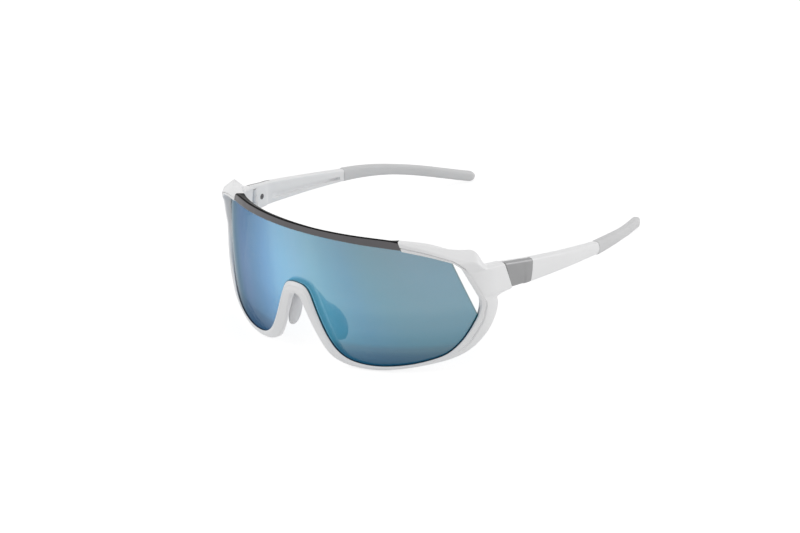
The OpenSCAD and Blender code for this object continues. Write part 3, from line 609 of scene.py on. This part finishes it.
# Colour of the coating, from seen straight on to seen at a grazing angle
COAT_STOPS = [
    (0.065, (0.045, 0.235, 0.345)),
    (0.085, (0.035, 0.23, 0.33)),
    (0.12, (0.02, 0.24, 0.35)),
    (0.17, (0.01, 0.26, 0.43)),
    (0.225, (0.045, 0.335, 0.51)),
    (0.27, (0.1, 0.42, 0.6)),
    (0.335, (0.13, 0.46, 0.7)),
    (0.39, (0.12, 0.48, 0.75)),
    (0.435, (0.11, 0.46, 0.76)),
    (0.51, (0.14, 0.39, 0.69)),
    (0.61, (0.17, 0.34, 0.56)),
    (0.73, (0.26, 0.35, 0.57)),
    (0.9, (0.135, 0.265, 0.335)),
    (1.0, (0.17, 0.21, 0.15)),
]
# Painted shade and reflection over the lens, darker towards its bottom, from its bottom to its top
SHADE_STOPS = [
    (0.0, (0.22, 0.28, 0.35)),
    (0.08, (0.31, 0.38, 0.46)),
    (0.14, (0.46, 0.51, 0.55)),
    (0.2, (0.72, 0.78, 0.8)),
    (0.3, (0.86, 0.88, 0.9)),
    (0.5, (1, 1, 1)),
    (0.65, (0.98, 0.98, 0.98)),
    (1.0, (0.84, 0.84, 0.84)),
]
# Colour of the painted line of shade along the edge, where the lens sits in its groove, at the bottom and at
# mid height
EDGE_SHADE_STOPS = [(0.25, (0.004, 0.04, 0.085)), (0.4, (0.005, 0.12, 0.13))]
# How much the coating hides, from the bottom up and from straight on to grazing
LOW_ALPHA = [(0.0, 0.8), (0.07, 0.73), (0.14, 0.66), (0.35, 0.6), (0.5, 0.565)]
SLANT_ALPHA = [(0.45, 0.565), (0.51, 0.655), (0.61, 0.735), (0.75, 0.78)]
# Heights in metres between which the painted shade runs
SHADE_LOW, SHADE_HIGH = 0.002, 0.054


def lens_material():
    """Tinted lens with a mirror coating, whose colour turns with the angle, with painted shade towards its
    bottom and a painted line of shade along its edge.
    """
    mat, tree, bsdf = new_material("lens_mirror")
    link = tree.links.new
    coords = tree.nodes.new("ShaderNodeTexCoord").outputs["Object"]
    weight = tree.nodes.new("ShaderNodeLayerWeight")
    weight.inputs["Blend"].default_value = 0.5
    facing = weight.outputs["Facing"]
    split = tree.nodes.new("ShaderNodeSeparateXYZ")
    link(coords, split.inputs["Vector"])
    span = tree.nodes.new("ShaderNodeMapRange")
    span.inputs["From Min"].default_value = SHADE_LOW
    span.inputs["From Max"].default_value = SHADE_HIGH
    link(split.outputs["Z"], span.inputs["Value"])
    height = span.outputs["Result"]
    coat = ramp(tree, facing, COAT_STOPS, "LINEAR")
    # Painted shade and reflection: the coating is darkened towards the bottom of the lens
    coat = mixed(tree, 1.0, coat, ramp(tree, height, SHADE_STOPS), "MULTIPLY")
    # A painted line of shade along the edge, fainter where the lens turns away
    edge = tree.nodes.new("ShaderNodeAttribute")
    edge.attribute_name = "edge_mm"
    edge_shade = ramp(tree, edge.outputs["Fac"], [(0.0, 1.0), (0.25, 0.95), (0.65, 0.0)])
    edge_shade = mixed(tree, 1.0, edge_shade, ramp(tree, facing, [(0.3, 1.0), (0.6, 0.15)]), "MULTIPLY")
    link(mixed(tree, edge_shade, coat, ramp(tree, height, EDGE_SHADE_STOPS)), bsdf.inputs["Base Color"])
    gloss = ramp(tree, noise(tree, coords, 90.0), [(0.3, 0.05), (0.7, 0.09)])
    link(gloss, bsdf.inputs["Roughness"])
    bsdf.inputs["Metallic"].default_value = 0.75
    bsdf.inputs["Specular Tint"].default_value = (0.3, 0.45, 0.55, 1)
    alpha = mixed(tree, 1.0, ramp(tree, height, LOW_ALPHA), ramp(tree, facing, SLANT_ALPHA), "LIGHTEN")
    link(alpha, bsdf.inputs["Alpha"])
    return mat


LENS = lens_material()


# Front frame
def make_front():
    front = loft("front_frame_skin", [section(k) for k in whole], WHITE)
    cut(front, [c(side, WHITE) for side in SIDES for c in (seam_cutter, swing_cutter)])
    finish(front, "front_frame")


# Lens: its side edge runs straight from under the arm to the side corner
LENS_SIDE_S = REACH - 9
LENS_CORNER_S = REACH + 0.1
LENS_SIDE_DIP = 0.9  # how far the side edge starts below the visible top
LENS_SIDE_V = float(brow_v(LENS_SIDE_S)) - LENS_SIDE_DIP
LENS_CORNER_V = CORNER_V - 0.8
LENS_ROWS = 48


def lens_low():
    """Points along the hidden lower edge of the lens, from corner to corner."""
    low = []
    for k in rim_dense:
        a, b = k[0:2], k[2:4]
        p = a + unit(b - a) * BITE
        if abs(p[0]) < REACH - 0.3:
            low.append(p)
    corner = np.array([LENS_CORNER_S, CORNER_V - 1.3])
    return np.array([corner * [-1, 1]] + low + [corner])


def lens_high(s):
    """Height of the hidden upper edge of the lens at a distance s from the middle."""
    s = np.abs(s)
    top = mix(brow_v(s) + BITE, brow_v(s) - LENS_SIDE_DIP, np.clip((s - LENS_SIDE_S + 1.2) / 1.2, 0, 1))
    slant = mix(LENS_SIDE_V, LENS_CORNER_V, (s - LENS_SIDE_S) / (LENS_CORNER_S - LENS_SIDE_S))
    return np.where(s < LENS_SIDE_S, top, slant)


def edge_distance(flat, low):
    """Distance of lens points to what shows as the edge, up to one millimetre."""
    sides = np.array([[k * mix(LENS_SIDE_S, LENS_CORNER_S, u), mix(LENS_SIDE_V, LENS_CORNER_V, u)]
                      for k in (-1, 1) for u in np.linspace(0, 1, 60)])
    to_low = np.linalg.norm(flat[:, :, None] - low[None, None], axis=-1).min(2) - BITE
    to_side = np.linalg.norm(flat[:, :, None] - sides[None, None], axis=-1).min(2)
    return np.clip(np.minimum(to_low, to_side), 0, 1)


def make_lens():
    """Closed lens, whose front knows how far its edge is."""
    low = lens_low()
    high = lens_high(low[:, 0])
    t = 0.5 - 0.5 * np.cos(np.linspace(0, math.pi, LENS_ROWS))
    v = low[:, 1:2] + (high - low[:, 1])[:, None] * t
    s = np.repeat(low[:, 0:1], LENS_ROWS, 1)
    rings = [np.concatenate([on_front(s[i], v[i], 0), on_front(s[i], v[i], -LENS_T)[::-1]])
             for i in range(len(low))]
    per = 2 * LENS_ROWS
    faces = loft_faces(len(rings), per)[:-2]
    for start in (0, (len(rings) - 1) * per):
        faces += [[start + j, start + j + 1, start + per - 2 - j, start + per - 1 - j]
                  for j in range(LENS_ROWS - 1)]
    lens = shape("shield_lens_skin", np.concatenate(rings), faces, LENS)
    edge = edge_distance(np.stack([s, v], -1), low)
    values = np.concatenate([np.concatenate([e, np.ones(LENS_ROWS)]) for e in edge])
    attribute = lens.data.attributes.new("edge_mm", "FLOAT", "POINT")
    attribute.data.foreach_set("value", values.astype(np.float32))
    finish(lens, "shield_lens", 40)
    # The narrow faces between front and back are cut plastic without a coating
    lens.data.materials.append(LENS_EDGE)
    for face in lens.data.polygons:
        at = {i % per for i in face.vertices}
        end = len({i // per for i in face.vertices}) == 1
        if end or at & {0, LENS_ROWS - 1} and at & {per - 1, LENS_ROWS}:
            face.material_index = 1


# Brow bar
BAR_TALLER = 0.6  # what the sloped top adds to the height


def bar_band(u):
    """Station of the bar at a share u of its reach, whose top slopes to the rear away from the ends."""
    end = abs(u) ** 14
    rise = mix(-1.7, -0.5, end)
    high = mix(BAR_H, BAR_END_H, u * u) + BAR_TALLER * (1 - end)
    return np.array([*brow_at(u * (BAR_REACH + 1.4), 0), *brow_at(u * BAR_REACH, high),
                     1.0, 1.2, 1.2, 1.2 - BAR_T, 0.14, GRIP, 0, rise, 0, 0, 0])


def make_bar():
    finish(loft("bar", [section(bar_band(u)) for u in np.linspace(-1, 1, 121)], BAR), "brow_bar")


# Temple stations along its middle: out, back, up, half height, half thickness, lean and turn
PLATE_END = PLATE_LEN + 0.4
TIP_START = unit(TIP_B - TIP_A)
STEPS = 12


def temple_knot(u, out, lean, turn, t):
    high = mix(TEMPLE_H, TEMPLE_END_H, u ** 0.85) / 2
    return [out, mix(SEAM_GAP, TEMPLE_LEN, u), -TEMPLE_DROP * u, high, t / 2, lean, turn]


temple_fine = smooth([
    temple_knot(0, TEMPLE_MID[0], -math.tan(RAKE), 0, TEMPLE_T),
    temple_knot(0.13, TEMPLE_MID[1], -0.12, 0, TEMPLE_T),
    temple_knot(PLATE_END / TEMPLE_LEN, TEMPLE_MID[2], 0.12, 0, TEMPLE_T),
    temple_knot(0.62, TEMPLE_MID[3], 0.09, 0, TEMPLE_T - 0.2),
    temple_knot(1, TEMPLE_MID[4], -TIP_START[2] / TIP_START[1], -TIP_START[0] / TIP_START[1],
                TEMPLE_T - 0.4),
], STEPS)
PLATE_I = 2 * STEPS  # station at the end of the side plate
ARCS = np.radians(np.linspace(90, 0, 9))
CROWN_R = 1.5  # rounding of the outer edges, seen along the temple
LEDGE = 1.8 + FIT  # where the recess of the side plate begins, from the inner face


def skin(h, t, e):
    """Outer half of the temple's section, set in by e, with a slightly crowned side."""
    r = CROWN_R
    top = [(t - r + (r - e) * math.cos(a), h - r + (r - e) * math.sin(a)) for a in ARCS]
    side = [(t - e + 0.16 - 0.06 * (z / 0.36) ** 2, z * h)
            for z in (0.36, 0.24, 0.12, 0, -0.12, -0.24, -0.36)]
    return [(LEDGE - t, h - e)] + top + side + [(x, -z) for x, z in top[::-1]] + [(LEDGE - t, e - h)]


def place(station, flat):
    """Points of a section, outwards and upwards, to hinge millimetres at a station."""
    out, back, up, _, _, lean, turn = station
    return np.array([(out + x, back + lean * z + turn * x, up + z) for x, z in flat])


def temple_ring(station, e, c):
    """Section with its outer half set in by e and a channel c deep in its inner face."""
    h, t = station[3:5]
    w, z = 0.26 * h, -0.3 * h
    crown = [(-t, h - 0.9), (0.09 - t, h - 0.45), (0.3 - t, h - 0.2), (0.8 - t, h - 0.05), (1.8 - t, h)]
    below = [(x, -y) for x, y in crown[::-1]]
    inner = [(-t, z - w), (c - t, z - w + 0.15), (c - t, z + w - 0.15), (-t, z + w)]
    return place(station, crown + skin(h, t, e) + below + inner)


def channel(y):
    """Depth of the channel at a distance y behind the seam."""
    if y < PLATE_END + 1 or y > TEMPLE_LEN - 3:
        return 0.02
    start = min((y - PLATE_END - 1) / 3, 1)
    end = min((TEMPLE_LEN - 3 - y) / 0.8, 1)
    deep = 1.5 if y > TEMPLE_LEN - 8 else 0.8
    return max(deep * math.sin(start * math.pi / 2) * math.sin(end * math.pi / 2), 0.02)


# Hole for the screw of the side plate, in the inner face
SCREW_TURN = math.radians(7)
SCREW_Y = 5.0
SCREW_HOLE_R = 1.25


def make_temple(side):
    rings = [temple_ring(k, PLATE_T + FIT, 0.02) for k in temple_fine[:PLATE_I + 1]]
    step = temple_fine[PLATE_I] + np.array([0, 0.01, 0, 0, 0, 0, 0])
    rings += [temple_ring(step, 0.02, 0.02)]
    rings += [temple_ring(k, 0.02, channel(k[1])) for k in temple_fine[PLATE_I + 1:]]
    temple = loft("temple", [at_hinge(r, side) for r in rings], WHITE)
    d = np.array([math.cos(SCREW_TURN), -math.sin(SCREW_TURN), 0])
    c = np.array([SCREW_Y * math.tan(SCREW_TURN) + 0.05, SCREW_Y, -0.6])
    p, f = drum(c - d, c + d * 0.8, SCREW_HOLE_R, 40)
    cut(temple, [swing_cutter(side, WHITE), shape("cutter", at_hinge(p, side), f, WHITE)])
    finish(temple, "temple_" + side, 32, 0.1)


def make_plate(side):
    stations = [*temple_fine[:PLATE_I], temple_fine[PLATE_I] - [0, FIT, 0, 0, 0, 0, 0]]
    rings = []
    for k in stations:
        h, t = k[3:5]
        rings.append(at_hinge(place(k, skin(h, t, 0) + skin(h, t, PLATE_T)[::-1]), side))
    finish(loft("plate", rings, PLATE), "temple_plate_" + side, 40, 0.14)


def tip_path(t):
    return (1 - t) ** 3 * TIP_A + 3 * (1 - t) ** 2 * t * TIP_B + 3 * (1 - t) * t * t * TIP_C + t ** 3 * TIP_D


def tip_ring(t, k):
    """Rounded section of the tip at a share t of its path, k times its full size."""
    d = TIP_START if t < 0.01 else unit(tip_path(t + 0.01) - tip_path(t - 0.01))
    up = unit(np.array([0, 0, 1.0]) - d * d[2])
    out = np.cross(up, d)
    f = min(3 * t, 1)
    high = k * mix(TEMPLE_END_H / 2 + 0.3, TIP_H / 2, f)
    thick = k * mix(TEMPLE_T / 2 + 0.1, TIP_T / 2, f)
    a = np.linspace(0, 2 * math.pi, 48, endpoint=False)[:, None]
    q = (np.abs(np.cos(a)) ** 3 + np.abs(np.sin(a)) ** 3) ** (-1 / 3)
    return tip_path(t) + up * high * q * np.sin(a) - out * thick * q * np.cos(a) + TIP_START * FIT


def make_tip(side):
    """Tip with a small round at its mouth and a domed end."""
    stops = [(0, 0.94), (0.003, 0.985), (0.007, 1)] + [(t, 1) for t in np.linspace(0.02, 0.94, 30)]
    stops += [(0.94 + 0.057 * math.sin(a), max(math.cos(a), 0.08)) for a in np.radians(np.linspace(8, 88, 9))]
    tip = loft("tip", [at_hinge(tip_ring(t, k), side) for t, k in stops], TIP)
    finish(tip, "temple_tip_" + side, 50)


# Nose pads, along their length, across and through their thickness
PAD_AXIS = unit(np.array([0.37, 0.3, -0.88]))
PAD_LEAN = np.array([0.32, 0.95, 0])
PAD_ACROSS = unit(PAD_LEAN - PAD_AXIS * PAD_LEAN.dot(PAD_AXIS))
PAD_FACE = np.cross(PAD_AXIS, PAD_ACROSS)
PAD_MID = np.array([PAD_SIDE, PAD_BACK, -PAD_LOW])
PAD_ROOT = on_front(4.15, ARCH - 3.7, -1.4)
NECK_ACROSS = unit(np.array([0.2, 0, 0.98]))


def oval(c, u, v, a, b):
    t = np.linspace(0, 2 * math.pi, 40, endpoint=False)[:, None]
    return c + u * a * np.cos(t) + v * b * np.sin(t)


def neck_ring(c, turn, r):
    """Round ring of the neck at c from its root, turned by a share towards the pad."""
    u = unit(mix(NECK_ACROSS, PAD_ACROSS, turn))
    v = unit(mix(np.cross([0, 1, 0], NECK_ACROSS), PAD_FACE, turn))
    return oval(PAD_ROOT + c, u, v, r, r)


def pad_ring(t, wide, thick):
    """Oval ring of the pad at a share t of its half length."""
    middle = PAD_MID + PAD_AXIS * t * PAD_LEN / 2
    return oval(middle, PAD_ACROSS, PAD_FACE, wide * PAD_W / 2, thick * PAD_T / 2)


PAD_RINGS = smooth([
    neck_ring([0, 2.3, 0], 0, 1.15),
    neck_ring([0, 2.6, 0], 0, 1.35),
    neck_ring([0.3, 3.8, -0.8], 0.3, 1.4),
    neck_ring([1.5, 4.9, -2.8], 0.75, 1.45),
    pad_ring(-0.95, 0.34, 0.84),
    pad_ring(-0.75, 0.55, 0.92),
    pad_ring(-0.45, 0.82, 1),
    pad_ring(-0.1, 0.98, 1),
    pad_ring(0.25, 1, 1),
    pad_ring(0.58, 0.86, 0.94),
    pad_ring(0.82, 0.6, 0.76),
    pad_ring(0.95, 0.32, 0.46),
    pad_ring(1, 0.1, 0.16),
], 4)


def make_pad(side):
    pad = loft("pad", [on_side(r, side) for r in PAD_RINGS], PAD)
    finish(pad, "nose_pad_" + side, 50)


def paint(node, mat):
    nodes[node].data.materials.clear()
    nodes[node].data.materials.append(mat)


# Small pieces that keep the shape of their solids
PAINTED = {
    "hinge_yoke_": PALE,
    "hinge_tongue_": PALE,
    "hinge_screw_": STEEL,
    "plate_screw_": DARK_STEEL,
    "bar_pin_": STEEL,
    "pad_wire_": STEEL,
    "temple_core_": STEEL,
}

make_front()
make_lens()
make_bar()
for side in SIDES:
    make_temple(side)
    make_plate(side)
    make_tip(side)
    make_pad(side)
    for start, mat in PAINTED.items():
        paint(start + side, mat)

# Camera at the photograph's angle, in worn millimetres and directions
CAMERA_AT = (695.2, -720.6, 386.2)
CAMERA_BACK = (0.621886, -0.699309, 0.352455)  # from the glasses to the camera
CAMERA_RIGHT = (0.747758, 0.663968, -0.001989)  # to the right in the picture
FOCAL_MM = 123.1


def make_camera():
    data = bpy.data.cameras.new("camera")
    data.sensor_width = 36.0
    data.lens = FOCAL_MM
    data.clip_start = 0.05
    data.clip_end = 20.0
    camera = bpy.data.objects.new("camera", data)
    bpy.context.scene.collection.objects.link(camera)
    back = Vector(turned(CAMERA_BACK)).normalized()
    right = Vector(turned(CAMERA_RIGHT))
    right = (right - back * right.dot(back)).normalized()
    up = back.cross(right)
    spot = Vector(stood(CAMERA_AT))
    camera.matrix_world = Matrix.Translation(spot) @ Matrix((right, up, back)).transposed().to_4x4()
    bpy.context.scene.camera = camera


# Pale floor and plain light
FLOOR_LIT = (0.85, 0.85, 0.85)  # how the floor lights the object
FLOOR_SEEN = (0.3, 0.3, 0.3)  # how it takes the light and the shadow, as it is seen
FLOOR_GLOW = 0.81  # what makes up the rest of its white
SKY = 0.66  # even light from all round


def seen_white(tree):
    """1 on rays that look at the surroundings, 0 on rays that light the object."""
    path = tree.nodes.new("ShaderNodeLightPath")
    total = path.outputs["Is Camera Ray"]
    for name in ("Is Glossy Ray", "Is Transmission Ray"):
        m = tree.nodes.new("ShaderNodeMath")
        m.operation = "MAXIMUM"
        tree.links.new(total, m.inputs[0])
        tree.links.new(path.outputs[name], m.inputs[1])
        total = m.outputs[0]
    return total


def make_floor():
    data = bpy.data.meshes.new("floor")
    data.from_pydata([(-6, -6, 0), (6, -6, 0), (6, 6, 0), (-6, 6, 0)], [], [(0, 1, 2, 3)])
    floor = bpy.data.objects.new("floor", data)
    floor.location.z = -0.0002
    bpy.context.scene.collection.objects.link(floor)
    mat, tree, bsdf = new_material("floor_white")
    out = tree.nodes["Material Output"]
    tree.nodes.remove(bsdf)
    diffuse = tree.nodes.new("ShaderNodeBsdfDiffuse")
    tree.links.new(mixed(tree, seen_white(tree), FLOOR_LIT, FLOOR_SEEN), diffuse.inputs["Color"])
    glow = tree.nodes.new("ShaderNodeEmission")
    glow.inputs["Color"].default_value = (1, 1, 1, 1)
    scale = tree.nodes.new("ShaderNodeMath")
    scale.operation = "MULTIPLY"
    scale.inputs[1].default_value = FLOOR_GLOW
    tree.links.new(seen_white(tree), scale.inputs[0])
    tree.links.new(scale.outputs[0], glow.inputs["Strength"])
    total = tree.nodes.new("ShaderNodeAddShader")
    tree.links.new(diffuse.outputs[0], total.inputs[0])
    tree.links.new(glow.outputs[0], total.inputs[1])
    tree.links.new(total.outputs[0], out.inputs["Surface"])
    data.materials.append(mat)


def make_world():
    world = bpy.data.worlds.new("studio")
    bpy.context.scene.world = world
    world.use_nodes = True
    tree = world.node_tree
    tree.nodes.clear()
    out = tree.nodes.new("ShaderNodeOutputWorld")
    light = tree.nodes.new("ShaderNodeBackground")
    light.inputs["Strength"].default_value = SKY
    white = tree.nodes.new("ShaderNodeBackground")
    white.inputs["Color"].default_value = (1, 1, 1, 1)
    both = tree.nodes.new("ShaderNodeMixShader")
    tree.links.new(seen_white(tree), both.inputs[0])
    tree.links.new(light.outputs[0], both.inputs[1])
    tree.links.new(white.outputs[0], both.inputs[2])
    tree.links.new(both.outputs[0], out.inputs["Surface"])


def lamp(name, spot, size, power, mirrored=True):
    """Soft lamp that looks at the middle of the glasses."""
    data = bpy.data.lights.new(name, "AREA")
    data.shape = "RECTANGLE"
    data.size, data.size_y = size
    data.energy = power
    obj = bpy.data.objects.new(name, data)
    obj.location = spot
    obj.rotation_euler = (Vector((0, 0, 0.03)) - Vector(spot)).to_track_quat("-Z", "Y").to_euler()
    obj.visible_glossy = mirrored
    bpy.context.scene.collection.objects.link(obj)


make_camera()
make_floor()
make_world()
lamp("left", (-1.1, -0.8, 0.9), (1.0, 1.0), 6.0)
lamp("right", (1.3, 1.3, 0.8), (1.0, 1.0), 9.5)
lamp("top", (0.2, -0.1, 1.7), (1.4, 1.4), 3.5)
lamp("low", (1.25, -0.5, 0.12), (0.8, 0.2), 1.4, mirrored=False)
bpy.context.scene.view_settings.view_transform = "Standard"
